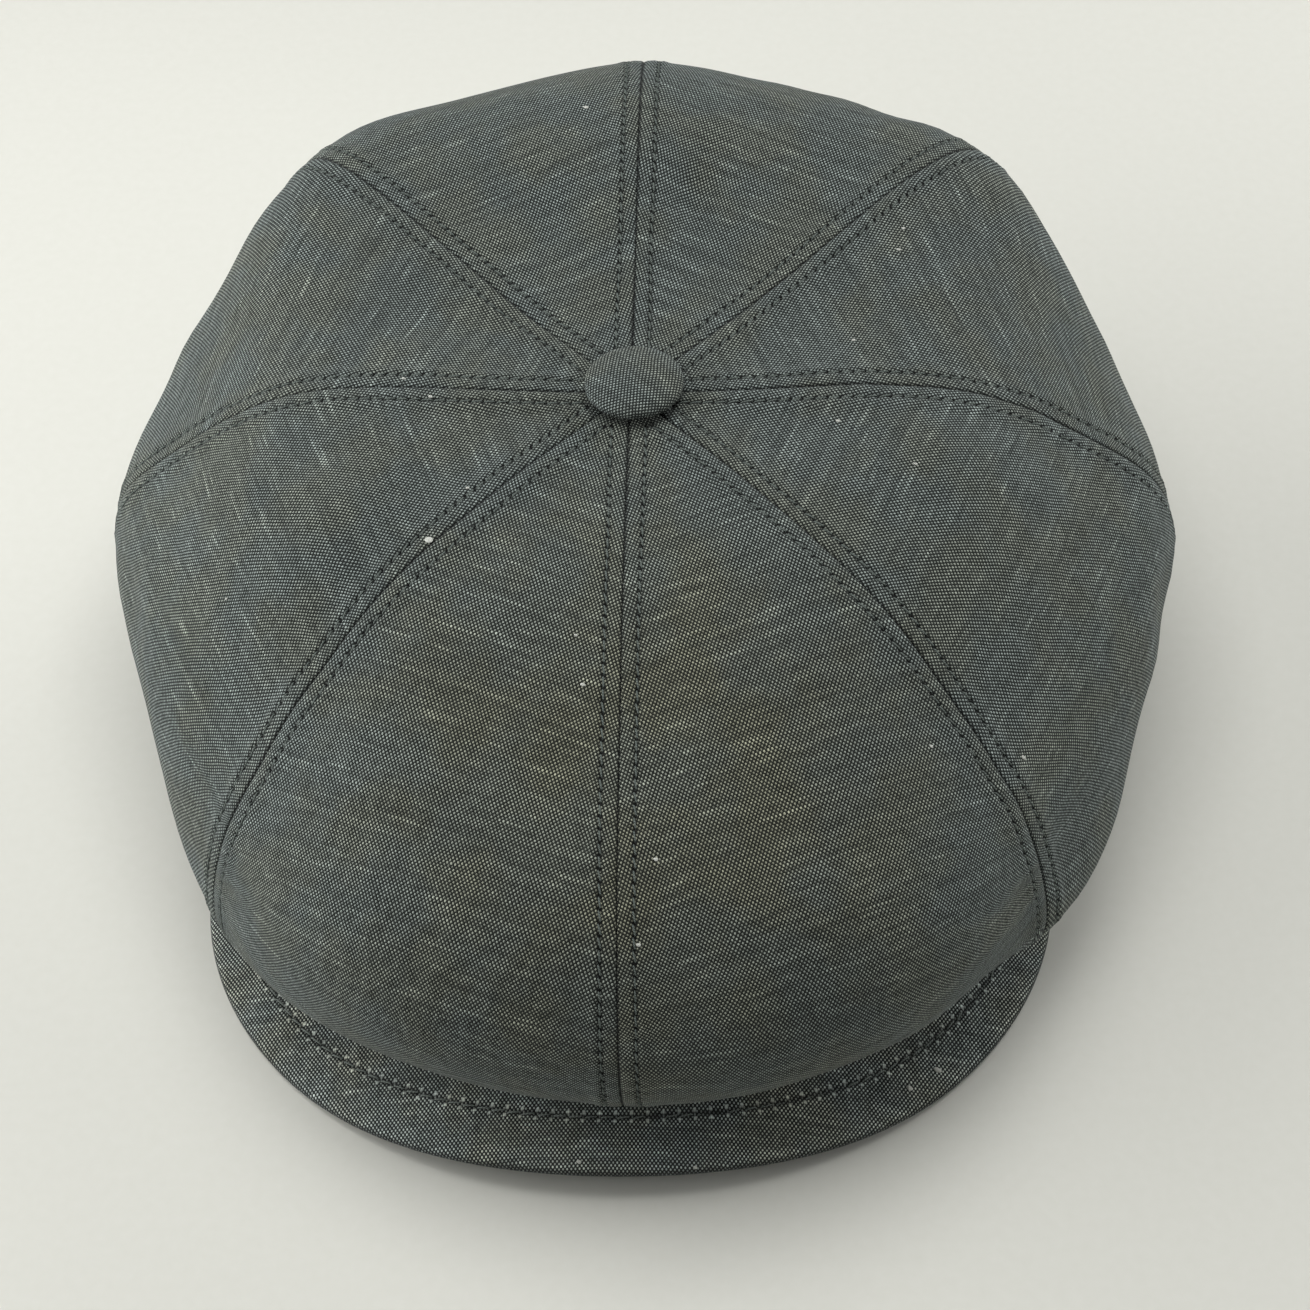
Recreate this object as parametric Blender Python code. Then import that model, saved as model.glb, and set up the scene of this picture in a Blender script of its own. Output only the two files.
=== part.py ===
"""Eight-panel cap of linen cloth: eight crown panels, a covered button, and a peak of two cloths.

Metres, +Z up. The peak points to -Y, and left and right are as seen from its front. The cap lies on z = 0 as
it does on a table: on the back of its rim and on the sides of its peak. Azimuths are degrees round the
button, with 0 at +X and -90 at the front.
"""

import math
from collections import namedtuple

import bmesh
import bpy
import numpy as np

# Crown
CROWN_HEIGHT = 0.112  # table to the level seat under the button
CROWN_REACH = 0.134  # button's axis to the widest point of a side seam
PANEL_CLOTH = 0.0015  # outer cloth with its interlining
SEAM_GAP = 0.0003  # between two panels
TIP_RADIUS = 0.004  # hole that the panels' tips leave under the button
PANEL_PLACES = (
    "front_right",
    "side_front_right",
    "side_back_right",
    "back_right",
    "back_left",
    "side_back_left",
    "side_front_left",
    "front_left",
)

# Rim, an oval for a head of about 57 cm
RIM_HALF_WIDTH = 0.086
RIM_HALF_LENGTH = 0.096
RIM_CENTRE_Y = -0.004
RIM_FRONT_RISE = 0.020  # the peak holds the front of the rim this far off the table
BAND_HEIGHT = 0.010  # upright lowest stretch of the panels
RIM_HOLD = 12  # power by which the lowest cloth takes the rim's own oval and height

# Button
BUTTON_RADIUS = 0.012
BUTTON_EDGE = 0.0015  # height of its upright edge
BUTTON_DOME = 0.0030  # height of its dome above the edge
BUTTON_ROLL = 0.0005  # its cloth turns in by this much at the bottom of the edge
SHANK_RADIUS = 0.0085
SHANK_HEIGHT = 0.0014  # lifts the button off the seams
BUTTON_GAP = 0.0003
SEAT_MARGIN = 0.002  # level cloth round the button

# Peak
PEAK_SIDE_REACH = 0.022  # its widest point beyond the rim's side
PEAK_FRONT_REACH = 0.058  # its front edge beyond the rim's front
PEAK_WIDEST_BACK = 0.030  # its widest place behind the rim's front
PEAK_BACK_DEPTH = 0.055  # from there towards its ends
PEAK_OFFSET = -0.003  # it is sewn in this far towards the left
PEAK_END_REACH = 0.004  # what its blunt ends stand out from the rim
PEAK_END_BEND = 8  # power by which its edge draws in to them
PEAK_CLOTH = 0.0013  # each of its two cloths
PEAK_LIFT = 0.0105  # middle of its front edge above the table
PEAK_LIFTED_SHARE = 0.42  # share of its half edge past which it lies on the table
PEAK_BULGE = 0.0025
PEAK_GAP = 0.0003
PEAK_RIM_SPAN = 67.5  # degrees each side of the front, along the rim
PEAK_EDGE_SPAN = 127.0  # the same along its outer edge, round its own centre

# Meshes
PANEL_COLUMNS = 8
PANEL_ROWS = 22
PEAK_COLUMNS = 44
PEAK_ROWS = 5
BUTTON_SIDES = 24

# Sections of the crown, from the front seam round to the back seam, one at each seam and one in the middle of
# each panel. reach is a share of CROWN_REACH, and so is tuck, the radius where the cloth turns in below. The
# dips are shares of CROWN_HEIGHT, measured down from the seat: at the stations below and at the widest point.
# tuck_rise is the tuck's height above the rim, also a share of CROWN_HEIGHT. turn is how many degrees the
# section leans back on its way down.
Section = namedtuple("Section", "turn reach dip_inner dip_middle dip_shoulder dip_wide tuck tuck_rise")
INNER, MIDDLE, SHOULDER = 0.34, 0.66, 0.88  # the stations, as shares of the section's own reach
LEAN_END = 0.9  # share of a section's length at which it is back at its own azimuth
SECTIONS = (
    Section(0.0, 1.20, 0.02, 0.15, 0.28, 0.515, 1.00, 0.04),  # front seam
    Section(3.0, 1.16, 0.01, 0.12, 0.27, 0.470, 1.03, 0.04),
    Section(-1.0, 1.02, 0.00, 0.08, 0.26, 0.420, 1.02, 0.07),  # front side seam
    Section(-2.5, 0.97, 0.00, 0.03, 0.24, 0.400, 0.91, 0.16),
    Section(1.0, 0.99, -0.01, 0.03, 0.21, 0.375, 0.85, 0.22),  # side seam
    Section(1.0, 0.98, 0.00, 0.00, 0.13, 0.345, 0.85, 0.23),
    Section(0.0, 1.01, 0.00, -0.04, 0.00, 0.330, 0.85, 0.23),  # back side seam
    Section(2.0, 0.98, -0.01, -0.07, -0.01, 0.310, 0.85, 0.23),
    Section(0.0, 0.99, -0.03, -0.10, -0.03, 0.290, 0.85, 0.23),  # back seam
)

# Dents of the crown. place is the azimuth and across its half spread, both in degrees; down is the share of
# the section's length from the button and along its half spread; depth is a share of CROWN_REACH.
Dent = namedtuple("Dent", "place down across along depth")
DENTS = (
    Dent(-166.0, 0.62, 5.0, 0.030, 0.016),  # fold in the left side, at its widest
    Dent(-10.5, 0.66, 5.0, 0.030, 0.014),  # the same at the right
    Dent(74.0, 0.25, 9.0, 0.050, 0.012),  # hollow in the back right panel
    Dent(-116.0, 0.52, 13.0, 0.060, 0.010),  # soft hollows in the front panels
    Dent(-76.0, 0.47, 11.0, 0.050, 0.008),
    Dent(-134.0, 0.40, 9.0, 0.050, 0.007),
)

LINEN_GREY = (0.105, 0.125, 0.130)
LINEN_DARK = (0.085, 0.105, 0.112)


def spline(knots, values, at):
    """Natural cubic spline through the values (one row for each knot), read at the given places."""
    knots = np.asarray(knots, float)
    values = np.asarray(values, float)
    step = np.diff(knots)
    slope = np.diff(values, axis=0) / step.reshape(-1, *[1] * (values.ndim - 1))
    system = np.eye(len(knots))
    right = np.zeros_like(values)
    for i in range(1, len(knots) - 1):
        system[i, i - 1 : i + 2] = step[i - 1], 2 * (step[i - 1] + step[i]), step[i]
        right[i] = 6 * (slope[i] - slope[i - 1])
    bend = np.linalg.solve(system, right.reshape(len(knots), -1)).reshape(values.shape)
    cell = np.clip(np.searchsorted(knots, at, side="right") - 1, 0, len(step) - 1)
    shape = (-1, *[1] * (values.ndim - 1))
    width = step[cell].reshape(shape)
    past = (np.asarray(at) - knots[cell]).reshape(shape)
    left = width - past
    return (
        (bend[cell] * left**3 + bend[cell + 1] * past**3) / (6 * width)
        + (values[cell] / width - bend[cell] * width / 6) * left
        + (values[cell + 1] / width - bend[cell + 1] * width / 6) * past
    )


def ease(share):
    """0 to 1, level at both ends."""
    share = np.clip(share, 0.0, 1.0)
    return share * share * (3 - 2 * share)


def rim_radius(azimuth):
    """Distance of the rim's outer side from the button's axis, for an azimuth in radians."""
    oval = RIM_HALF_WIDTH * RIM_HALF_LENGTH
    oval = oval / np.hypot(RIM_HALF_LENGTH * np.cos(azimuth), RIM_HALF_WIDTH * np.sin(azimuth))
    return oval + RIM_CENTRE_Y * np.sin(azimuth)


def rim_height(azimuth):
    """The rim lies on the table all along its back half and rises to the peak at the front."""
    return RIM_FRONT_RISE * ease(-np.sin(azimuth))


def section_curve(section, azimuth, shares):
    """Radius, height and azimuth along one section, at shares of its length from the button's axis."""
    reach = section.reach * CROWN_REACH
    rim, foot = rim_radius(azimuth), rim_height(azimuth)
    stations = np.array(
        [
            (0.0, 0.0),
            (BUTTON_RADIUS + SEAT_MARGIN, 0.0),
            (INNER * reach, section.dip_inner),
            (MIDDLE * reach, section.dip_middle),
            (SHOULDER * reach, section.dip_shoulder),
            (reach, section.dip_wide),
        ]
    )
    stations[:, 1] = CROWN_HEIGHT * (1 - stations[:, 1])
    below = [
        (section.tuck * CROWN_REACH, foot + section.tuck_rise * CROWN_HEIGHT),
        (rim, foot + BAND_HEIGHT),
        (rim, foot),
    ]
    stations = np.vstack([stations, below])
    length = np.concatenate([[0.0], np.cumsum(np.hypot(*np.diff(stations, axis=0).T))])
    curve = spline(length / length[-1], stations, shares)
    lean = math.radians(section.turn) * np.sin(math.pi * np.minimum(shares / LEAN_END, 1.0))
    return np.column_stack([curve, azimuth + lean])


def crown_grid(columns, rows):
    """Points of the crown's outer side, with this many cells across a panel, and their outward normals.

    The first axis runs once round the crown from the front seam, the second from the panels' tips to the rim.
    """
    half = len(SECTIONS) - 1
    step = math.pi / half
    start = TIP_RADIUS / (CROWN_REACH + CROWN_HEIGHT)  # the sections are about this long
    shares = np.linspace(start, 1.0, rows + 1)
    right = [section_curve(s, -math.pi / 2 + i * step, shares) for i, s in enumerate(SECTIONS)]
    curves = np.array(right + [c * [1, 1, -1] + [0, 0, math.pi] for c in right[-2:0:-1]])
    # The azimuth is splined as its difference from an even turn, so that it closes on itself.
    around = np.arange(2 * half)
    even = -math.pi / 2 + around * step
    curves[..., 2] = (curves[..., 2] - even[:, None] + math.pi) % (2 * math.pi) - math.pi
    overlap = np.arange(-half, 3 * half + 1)
    lines = len(PANEL_PLACES) * columns
    places = np.arange(lines) * 2 * half / lines
    radius, height, turn = np.moveaxis(spline(overlap, curves[overlap % (2 * half)], places), -1, 0)
    azimuth = turn + (-math.pi / 2 + places * step)[:, None]
    # The splines round the crown only come near the rim's own oval and height.
    hold, rim = shares**RIM_HOLD, azimuth[:, -1:]
    radius = radius + (rim_radius(rim) - radius[:, -1:]) * hold
    height = height + (rim_height(rim) - height[:, -1:]) * hold
    points = np.stack([radius * np.cos(azimuth), radius * np.sin(azimuth), height], -1)
    for dent in DENTS:
        off = (azimuth - math.radians(dent.place) + math.pi) % (2 * math.pi) - math.pi
        across = off / math.radians(dent.across)
        along = (shares - dent.down) / dent.along
        push = dent.depth * CROWN_REACH * np.exp(-(across**2) - along**2)
        points -= push[..., None] * outward(points)
    return points, outward(points), azimuth


def outward(points):
    """Unit normals of a grid whose first axis closes on itself."""
    round_way = np.roll(points, -1, 0) - np.roll(points, 1, 0)
    down_way = np.gradient(points, axis=1)
    normal = np.cross(down_way, round_way)
    return normal / np.linalg.norm(normal, axis=-1, keepdims=True)


def cloth_material(name, colour, roughness):
    material = bpy.data.materials.new(name)
    material.use_nodes = True
    shader = material.node_tree.nodes["Principled BSDF"]
    shader.inputs["Base Color"].default_value = (*colour, 1.0)
    shader.inputs["Roughness"].default_value = roughness
    shader.inputs["Metallic"].default_value = 0.0
    return material


def add_piece(name, mesh, parent, material, crease=40.0):
    """A named object with its own material, shaded smooth but for its creases."""
    mesh.materials.append(material)
    mesh.shade_smooth()
    mesh.set_sharp_from_angle(angle=math.radians(crease))
    piece = bpy.data.objects.new(name, mesh)
    piece.parent = parent
    bpy.context.scene.collection.objects.link(piece)
    return piece


def shell_mesh(name, front, back):
    """A sheet's closed mesh from its two skins, grids of points of the same size."""
    columns, rows = front.shape[:2]
    body = bmesh.new()
    skins = [[[body.verts.new(p) for p in line] for line in skin] for skin in (front, back)]
    for i in range(columns - 1):
        for j in range(rows - 1):
            near, far = (i, j), (i + 1, j + 1)
            for cell in ((near, (i, j + 1), far), (near, far, (i + 1, j))):
                body.faces.new([skins[0][a][b] for a, b in cell])
                body.faces.new([skins[1][a][b] for a, b in reversed(cell)])
    border = [(i, 0) for i in range(columns)] + [(columns - 1, j) for j in range(1, rows)]
    border += [(i, rows - 1) for i in range(columns - 2, -1, -1)] + [(0, j) for j in range(rows - 2, 0, -1)]
    for here, there in zip(border, border[1:] + border[:1]):
        (a, b), (c, d) = here, there
        body.faces.new((skins[0][a][b], skins[0][c][d], skins[1][c][d], skins[1][a][b]))
    bmesh.ops.recalc_face_normals(body, faces=body.faces)
    mesh = bpy.data.meshes.new(name)
    body.to_mesh(mesh)
    body.free()
    return mesh


def make_panels(root):
    """The eight panels, named by their place, each with its own mesh from seam to seam."""
    points, normals, azimuth = crown_grid(PANEL_COLUMNS, PANEL_ROWS)
    inside = points - PANEL_CLOTH * normals
    level = normals[:, -1] * [1, 1, 0]
    inside[:, -1] = points[:, -1] - PANEL_CLOTH * level / np.linalg.norm(level, axis=-1, keepdims=True)
    sideways = np.stack([-np.sin(azimuth), np.cos(azimuth), np.zeros_like(azimuth)], -1)
    linen = cloth_material("panel_linen", LINEN_GREY, 0.85)
    for number, place in enumerate(PANEL_PLACES):
        lines = (number * PANEL_COLUMNS + np.arange(PANEL_COLUMNS + 1)) % len(points)
        retreat = np.zeros((PANEL_COLUMNS + 1, 1, 1))
        retreat[0], retreat[-1] = SEAM_GAP / 2, -SEAM_GAP / 2
        shift = retreat * sideways[lines]
        name = f"panel_{place}"
        mesh = shell_mesh(name, points[lines] + shift, inside[lines] + shift)
        add_piece(name, mesh, root, linen)


def make_button(root):
    """A domed button on a short shank, turned round the crown's axis."""
    base = CROWN_HEIGHT + BUTTON_GAP
    rim = base + SHANK_HEIGHT
    shoulder = rim + BUTTON_EDGE
    profile = [(0.0, base), (SHANK_RADIUS, base), (SHANK_RADIUS, rim), (BUTTON_RADIUS, rim + BUTTON_ROLL)]
    profile.append((BUTTON_RADIUS, shoulder))
    for degrees in (25, 50, 70, 90):
        turn = math.radians(degrees)
        profile.append((BUTTON_RADIUS * math.cos(turn), shoulder + BUTTON_DOME * math.sin(turn)))
    body = bmesh.new()
    line = [body.verts.new((radius, 0.0, height)) for radius, height in profile]
    edges = [body.edges.new(pair) for pair in zip(line, line[1:])]
    bmesh.ops.spin(
        body,
        geom=line + edges,
        cent=(0.0, 0.0, 0.0),
        axis=(0.0, 0.0, 1.0),
        angle=math.tau,
        steps=BUTTON_SIDES,
        use_merge=True,
    )
    bmesh.ops.remove_doubles(body, verts=body.verts, dist=1e-6)
    bmesh.ops.recalc_face_normals(body, faces=body.faces)
    mesh = bpy.data.meshes.new("button")
    body.to_mesh(mesh)
    body.free()
    add_piece("button", mesh, root, cloth_material("button_linen", LINEN_DARK, 0.85))


def peak_edge(share, azimuth):
    """The peak's outer edge from its left end to its right end, for shares from -1 to 1, on the table."""
    turn = np.radians(-90 + PEAK_EDGE_SPAN * share)
    depth = np.where(np.sin(turn) < 0, PEAK_FRONT_REACH + PEAK_WIDEST_BACK, PEAK_BACK_DEPTH)
    widest_y = RIM_CENTRE_Y - RIM_HALF_LENGTH + PEAK_WIDEST_BACK
    edge_x = PEAK_OFFSET + (RIM_HALF_WIDTH + PEAK_SIDE_REACH) * np.cos(turn)
    edge = np.stack([edge_x, widest_y + depth * np.sin(turn)], -1)
    end_radius = rim_radius(azimuth) + PEAK_END_REACH
    ends = np.stack([end_radius * np.cos(azimuth), end_radius * np.sin(azimuth)], -1)
    miss = np.where(share[:, None] < 0, ends[0] - edge[0], ends[-1] - edge[-1])
    return edge + miss * np.abs(share)[:, None] ** PEAK_END_BEND


def peak_underside():
    """Grid of the peak's lower side, from its left end to its right and from the rim to its outer edge."""
    share = np.linspace(-1.0, 1.0, PEAK_COLUMNS + 1)
    azimuth = np.radians(-90 + PEAK_RIM_SPAN * share)
    radius = rim_radius(azimuth) - PANEL_CLOTH
    thickness = 2 * PEAK_CLOTH + PEAK_GAP
    at_rim = (radius * np.cos(azimuth), radius * np.sin(azimuth), rim_height(azimuth) - PEAK_GAP - thickness)
    to_table = np.minimum(np.abs(share) / PEAK_LIFTED_SHARE, 1.0)
    lift = PEAK_LIFT * np.cos(to_table * math.pi / 2) ** 2
    at_edge = np.column_stack([peak_edge(share, azimuth), lift])
    down = np.linspace(0.0, 1.0, PEAK_ROWS + 1)[None, :, None]
    grid = np.stack(at_rim, -1)[:, None] * (1 - down) + at_edge[:, None] * down
    arch = np.cos(share * math.pi / 2)[:, None] * np.sin(math.pi * down[..., 0])
    grid[..., 2] += PEAK_BULGE * arch
    return grid


def make_peak(root):
    """The upper and the lower cloth, one above the other with a small gap."""
    underside = peak_underside()
    up = np.array([0.0, 0.0, 1.0])
    levels = (
        ("peak_under", 0.0, cloth_material("peak_under_linen", LINEN_DARK, 0.9)),
        ("peak_top", PEAK_CLOTH + PEAK_GAP, cloth_material("peak_top_linen", LINEN_GREY, 0.85)),
    )
    for name, height, linen in levels:
        lower = underside + height * up
        add_piece(name, shell_mesh(name, lower + PEAK_CLOTH * up, lower), root, linen)


def centre_on_origin(root):
    """Moves the cap so that the middle of its box's base is the origin."""
    corners = np.array([v.co for piece in root.children for v in piece.data.vertices])
    low, high = corners.min(axis=0), corners.max(axis=0)
    root.location = (-(low[0] + high[0]) / 2, -(low[1] + high[1]) / 2, -low[2])


def main():
    for old in list(bpy.data.objects):
        bpy.data.objects.remove(old)
    root = bpy.data.objects.new("cap", None)
    bpy.context.scene.collection.objects.link(root)
    make_panels(root)
    make_button(root)
    make_peak(root)
    centre_on_origin(root)


main()
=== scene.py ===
"""An eight-panel linen cap lying on a table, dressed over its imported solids.

Metres, +Z up, the peak points to -Y, and left and right are as seen from its front. The crown and the peak
follow the same formulas as their solids, drawn finer and with the sewing worked in: seams pressed open, rows
of topstitches, turned edges. Weave and stitches are laid out in millimetres of the flat, cut cloth.
"""

import math
from collections import namedtuple

import bpy
import numpy as np
from mathutils import Matrix, Vector


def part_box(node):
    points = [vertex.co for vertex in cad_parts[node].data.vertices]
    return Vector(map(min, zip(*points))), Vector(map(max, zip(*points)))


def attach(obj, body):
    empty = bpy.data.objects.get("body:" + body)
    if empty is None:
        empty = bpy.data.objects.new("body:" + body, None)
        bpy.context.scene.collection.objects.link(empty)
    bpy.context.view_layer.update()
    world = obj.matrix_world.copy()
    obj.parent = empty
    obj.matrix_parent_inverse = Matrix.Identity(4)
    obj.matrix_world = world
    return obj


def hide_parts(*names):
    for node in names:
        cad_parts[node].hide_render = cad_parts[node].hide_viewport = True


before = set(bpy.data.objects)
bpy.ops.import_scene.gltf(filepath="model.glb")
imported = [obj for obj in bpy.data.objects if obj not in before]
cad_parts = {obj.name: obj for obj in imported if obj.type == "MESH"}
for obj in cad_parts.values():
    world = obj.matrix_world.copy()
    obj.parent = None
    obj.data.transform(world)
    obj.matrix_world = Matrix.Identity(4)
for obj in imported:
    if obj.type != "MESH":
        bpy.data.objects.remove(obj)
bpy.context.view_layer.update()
MM = 0.001

# Crown, as in the solids
CROWN_HEIGHT = 0.112
CROWN_REACH = 0.134
PANEL_CLOTH = 0.0015
TIP_RADIUS = 0.004
PANEL_PLACES = (
    "front_right",
    "side_front_right",
    "side_back_right",
    "back_right",
    "back_left",
    "side_back_left",
    "side_front_left",
    "front_left",
)
RIM_HALF_WIDTH = 0.086
RIM_HALF_LENGTH = 0.096
RIM_CENTRE_Y = -0.004
RIM_FRONT_RISE = 0.020
BAND_HEIGHT = 0.010
RIM_HOLD = 12
SEAT_RADIUS = 0.014

# Button, as in the solids
BUTTON_RADIUS = 0.012
BUTTON_EDGE = 0.0015
BUTTON_DOME = 0.0030
BUTTON_ROLL = 0.0005
SHANK_RADIUS = 0.0085
SHANK_HEIGHT = 0.0014
BUTTON_GAP = 0.0003

# Peak, as in the solids
PEAK_SIDE_REACH = 0.022
PEAK_FRONT_REACH = 0.058
PEAK_WIDEST_BACK = 0.030
PEAK_BACK_DEPTH = 0.055
PEAK_OFFSET = -0.003
PEAK_END_REACH = 0.004
PEAK_END_BEND = 8
PEAK_CLOTH = 0.0013
PEAK_LIFT = 0.0105
PEAK_LIFTED_SHARE = 0.42
PEAK_BULGE = 0.0025
PEAK_GAP = 0.0003
PEAK_RIM_SPAN = 67.5
PEAK_EDGE_SPAN = 127.0
PEAK_THICK = 2 * PEAK_CLOTH + PEAK_GAP

# Sections of the crown from the front seam to the back seam, as shares, the same as in the solids
Section = namedtuple("Section", "turn reach dip_inner dip_middle dip_shoulder dip_wide tuck tuck_rise")
INNER, MIDDLE, SHOULDER = 0.34, 0.66, 0.88
LEAN_END = 0.9
SECTIONS = (
    Section(0.0, 1.20, 0.02, 0.15, 0.28, 0.515, 1.00, 0.04),
    Section(3.0, 1.16, 0.01, 0.12, 0.27, 0.470, 1.03, 0.04),
    Section(-1.0, 1.02, 0.00, 0.08, 0.26, 0.420, 1.02, 0.07),
    Section(-2.5, 0.97, 0.00, 0.03, 0.24, 0.400, 0.91, 0.16),
    Section(1.0, 0.99, -0.01, 0.03, 0.21, 0.375, 0.85, 0.22),
    Section(1.0, 0.98, 0.00, 0.00, 0.13, 0.345, 0.85, 0.23),
    Section(0.0, 1.01, 0.00, -0.04, 0.00, 0.330, 0.85, 0.23),
    Section(2.0, 0.98, -0.01, -0.07, -0.01, 0.310, 0.85, 0.23),
    Section(0.0, 0.99, -0.03, -0.10, -0.03, 0.290, 0.85, 0.23),
)

# Dents and folds. place is the azimuth and across its half spread, in degrees; down is the share of the
# section's length from the button and along its half spread; depth is a share of CROWN_REACH.
Dent = namedtuple("Dent", "place down across along depth")
DENTS = (
    Dent(-166.0, 0.62, 5.0, 0.030, 0.016),
    Dent(-10.5, 0.66, 5.0, 0.030, 0.014),
    Dent(76.0, 0.27, 4.5, 0.055, 0.018),
    Dent(-116.0, 0.52, 13.0, 0.060, 0.010),
    Dent(-76.0, 0.47, 11.0, 0.050, 0.008),
    Dent(-134.0, 0.40, 9.0, 0.050, 0.007),
)
# The front hangs a little shorter than its solid, and the cloth has small hollows and rolls of its own. A
# depth below nought stands out.
DRAPE = (
    Dent(-90.0, 0.66, 38.0, 0.110, 0.035),
    Dent(-53.0, 0.74, 8.0, 0.060, 0.026),
    Dent(-158.0, 0.69, 13.0, 0.060, 0.019),
    Dent(-35.0, 0.74, 11.5, 0.060, -0.022),
    Dent(-3.0, 0.67, 4.0, 0.050, -0.014),
    Dent(13.0, 0.61, 7.0, 0.050, 0.009),
    Dent(41.0, 0.53, 5.0, 0.060, -0.008),
    Dent(57.0, 0.50, 5.0, 0.060, 0.014),
    Dent(118.0, 0.49, 7.0, 0.060, 0.007),
    Dent(158.0, 0.59, 4.0, 0.050, -0.010),
)

# Unevenness of worn cloth, over 30 mm and over 11 mm
BROAD_RUMPLE = 0.8 * MM
FINE_RUMPLE = 0.22 * MM

# Sewing
ALLOWANCE = 6.4 * MM  # cloth turned under on each side of a seam and pressed open
ALLOWANCE_RISE = 0.42 * MM
ALLOWANCE_FEATHER = 1.3 * MM  # over this its raw edge shows through as a soft step
SEAM_DROP = 0.50 * MM  # how far the cloth turns down into a seam
SEAM_TURN = 0.40 * MM
SEAM_ROLL = 1.7 * MM  # over this the turned edge is rounded
EDGE_START = 0.06 * MM  # half of the crack in a seam
STITCH_ROW = 4.0 * MM  # from a seam to its row of topstitches
STITCH_PITCH = 3.0 * MM
ROW_SINK = 0.26 * MM  # a row pulls the cloth down by this much
ROW_WIDTH = 0.75 * MM
HOLE_SINK = 0.38 * MM  # more at each needle hole
HOLE_RADIUS = 0.50 * MM
PUFF = 0.10 * MM  # the cloth swells between the holes
PUFF_WIDTH = 1.7 * MM
PUCKER = 0.14 * MM  # and gathers unevenly along the seam
FEED_WANDER = 0.25 * MM  # unevenness of the stitches' lengths
ROW_WANDER = 0.25 * MM  # and of the row's distance from its seam
ROW_ROOM = 2.2  # rows end where the cloth is narrower than this many times their distance to its edge
RIM_EASE = 5 * MM  # over this the sewing fades out at the rim
PEAK_ROW = 9.5 * MM  # from the peak's edge to its row of stitches, at the peak's ends
PEAK_ROW_DRIFT = 3.8 * MM  # and this much more at its middle
PEAK_PITCH = 3.8 * MM
PEAK_WAVE = 0.25 * MM
PEAK_HOLE_SINK = 0.08 * MM  # the stiff peak gives way less
TICK_RISE = 0.28 * MM  # but its cloth is pinched up on both sides of each hole
TICK_ASIDE = 0.95 * MM
TICK_WIDTH = 0.55 * MM
THREAD_RADIUS = 0.20 * MM
THREAD_CREST = 0.10 * MM  # a stitch's middle lies this far above its row
THREAD_DROP = 0.55 * MM  # and its ends go down this far into their holes
THREAD_SLANT = 0.55 * MM  # sideways, from one end of a stitch to the other

# Fineness of the meshes
PANEL_FINE = 56  # even columns that a panel's own are read from
PANEL_ROWS = 400
PANEL_SEAM = [0, 0.25, 0.5, 0.8, 1.2, 1.7, 2.3, 2.8]  # millimetres from a seam
PANEL_STITCHES = [3.2, 3.55, 3.85, 4.15, 4.45, 4.8, 5.3, 6, 7, 8.5]
PANEL_ZONE = np.array(PANEL_SEAM + PANEL_STITCHES) * MM
PANEL_MIDDLE = 20
LINING_CELLS = 16
PEAK_COLUMNS_PER_STITCH = 6
PEAK_TURN = np.arange(0, 1.5, 0.15)  # millimetres from the peak's edge
PEAK_ZONE = np.concatenate([PEAK_TURN, np.arange(1.5, 7.5, 0.9), np.arange(7.5, 15.6, 0.3)]) * MM
PEAK_MIDDLE = 24
EDGE_SHARE = 0.46  # of a narrow cloth's width, the most that its close columns along an edge take
STITCH_RINGS = 7
THREAD_SIDES = 6
BUTTON_SIDES = 96
HIDDEN = 60.0  # millimetres from any seam, for cloth that no needle reaches

# The middle of the button stands over the crown's own origin.
BUTTON_LOW, BUTTON_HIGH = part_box("button")
AXIS = np.array([(BUTTON_LOW[0] + BUTTON_HIGH[0]) / 2, (BUTTON_LOW[1] + BUTTON_HIGH[1]) / 2, 0.0])


def spline(knots, values, at):
    """Natural cubic spline through the values (one row for each knot), read at the given places."""
    knots = np.asarray(knots, float)
    values = np.asarray(values, float)
    step = np.diff(knots)
    slope = np.diff(values, axis=0) / step.reshape(-1, *[1] * (values.ndim - 1))
    system = np.eye(len(knots))
    right = np.zeros_like(values)
    for i in range(1, len(knots) - 1):
        system[i, i - 1 : i + 2] = step[i - 1], 2 * (step[i - 1] + step[i]), step[i]
        right[i] = 6 * (slope[i] - slope[i - 1])
    bend = np.linalg.solve(system, right.reshape(len(knots), -1)).reshape(values.shape)
    cell = np.clip(np.searchsorted(knots, at, side="right") - 1, 0, len(step) - 1)
    shape = (-1, *[1] * (values.ndim - 1))
    width = step[cell].reshape(shape)
    past = (np.asarray(at) - knots[cell]).reshape(shape)
    left = width - past
    return (
        (bend[cell] * left**3 + bend[cell + 1] * past**3) / (6 * width)
        + (values[cell] / width - bend[cell] * width / 6) * left
        + (values[cell + 1] / width - bend[cell + 1] * width / 6) * past
    )


def ease(share):
    """0 to 1, level at both ends."""
    share = np.clip(share, 0.0, 1.0)
    return share * share * (3 - 2 * share)


def hump(off, spread):
    """1 at no distance, falling away over the spread."""
    return np.exp(-((off / spread) ** 2))


RIPPLE_PERIOD = 97


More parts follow.
